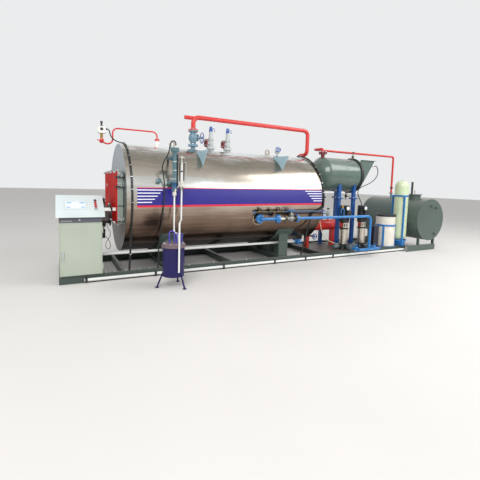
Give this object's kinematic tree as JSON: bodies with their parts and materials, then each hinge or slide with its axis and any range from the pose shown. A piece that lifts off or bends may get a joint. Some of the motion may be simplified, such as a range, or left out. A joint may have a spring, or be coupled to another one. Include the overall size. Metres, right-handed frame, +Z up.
{
  "type": "packaged fire-tube steam boiler",
  "caption": "Horizontal fire-tube steam boiler on a skid with burner, console, valves, economiser, pumps, softener and feed-water tank.",
  "frame": {"origin": "on the floor below the barrel's axis, in the plane of the front plate, on the underside of the skid's cross member there", "axes": "+X along the barrel to the rear, +Y to the side away from the console, gauge and feed line, +Z up"},
  "size_m": [9.22, 2.6108, 2.9345],
  "materials": {
    "frame_paint": "satin",
    "stainless_cladding": "brushed",
    "grey_plate": "satin",
    "grey_green_paint": "satin",
    "red_paint": "satin",
    "galvanised": "spangled",
    "burner_grey": "satin",
    "black_plastic": "matte",
    "white_plastic": "matte",
    "console_paint": "satin",
    "desk_paint": "satin",
    "teal_paint": "satin",
    "gauge_steel": "polished",
    "indigo_paint": "gloss",
    "lid_paint": "satin",
    "tube_paint": "gloss",
    "switch_housing": "satin",
    "valve_blue_grey": "satin",
    "valve_blue": "gloss",
    "bracket_blue": "satin",
    "pipe_blue": "gloss",
    "cast_steel": "satin",
    "economiser_paint": "satin",
    "leg_blue": "gloss",
    "dark_red_paint": "satin",
    "pump_black": "satin",
    "pump_steel": "brushed",
    "brine_white": "satin",
    "resin_green": "satin",
    "tank_paint": "satin",
    "panel_navy": "satin"
  },
  "bodies": {
    "root": {"skid_channels": "frame_paint", "skid_cross_members": "frame_paint", "deck_plates": "frame_paint", "saddles": "frame_paint", "barrel_cladding": "stainless_cladding", "front_plate": "grey_plate", "rear_plate": "grey_plate", "rim_bands": "stainless_cladding", "smoke_box": "grey_green_paint", "smoke_box_door": "red_paint", "door_clamps": "galvanised", "burner": "burner_grey", "gas_train": "black_plastic", "cable_trunk": "white_plastic", "console_cabinet": "console_paint", "console_desk": "desk_paint", "desk_controls": "black_plastic", "water_column": "teal_paint", "gauge_glass": "gauge_steel", "drain_pipes": "white_plastic", "cooler_barrel": "indigo_paint", "cooler_lid": "lid_paint", "cooler_tubes": "tube_paint", "siphon_pipe": "red_paint", "pressure_switch": "switch_housing", "steam_valve": "valve_blue_grey", "steam_pipe": "red_paint", "safety_valves": "valve_blue", "walkway_brackets": "bracket_blue", "lifting_lugs": "bracket_blue", "small_valves": "valve_blue", "feed_pipe": "pipe_blue", "feed_valves": "cast_steel", "economiser_shell": "economiser_paint", "economiser_ends": "economiser_paint", "flue_duct": "economiser_paint", "flue_hood": "economiser_paint", "economiser_legs": "leg_blue", "economiser_fittings": "dark_red_paint", "condensate_pipe": "red_paint", "steam_header": "red_paint", "pump_castings": "pump_black", "pump_sleeves": "pump_steel", "pump_motors": "pump_black", "pump_manifold": "pipe_blue", "pump_panel": "panel_navy", "brine_tank": "brine_white", "brine_lid": "black_plastic", "resin_tank": "resin_green", "softener_frame": "leg_blue", "tank_shell": "tank_paint", "tank_ends": "tank_paint", "tank_fittings": "tank_paint", "tank_base": "tank_paint", "black_conduits": "black_plastic", "base_conduit": "white_plastic", "cables": "black_plastic"},
    "console_door": {"console_door": "console_paint"},
    "steam_wheel": {"steam_valve_wheel": "valve_blue"},
    "feed_wheel": {"feed_valve_wheel": "pipe_blue"}
  },
  "joints": [
    {"name": "console_door_hinge", "type": "hinge", "parent": "root", "child": "console_door", "pos_m": [-0.331, -0.746, 0.5], "axis": [0, 0, 1], "range_deg": [0, 110]},
    {"name": "steam_wheel_turn", "type": "hinge", "parent": "root", "child": "steam_wheel", "pos_m": [1.6, 0, 2.5], "axis": [1, 0, 0], "range_deg": [0, 1440]},
    {"name": "feed_wheel_turn", "type": "hinge", "parent": "root", "child": "feed_wheel", "pos_m": [3.105, -1.035, 1.128], "axis": [0, 0, 1], "range_deg": [0, 1440]}
  ]
}
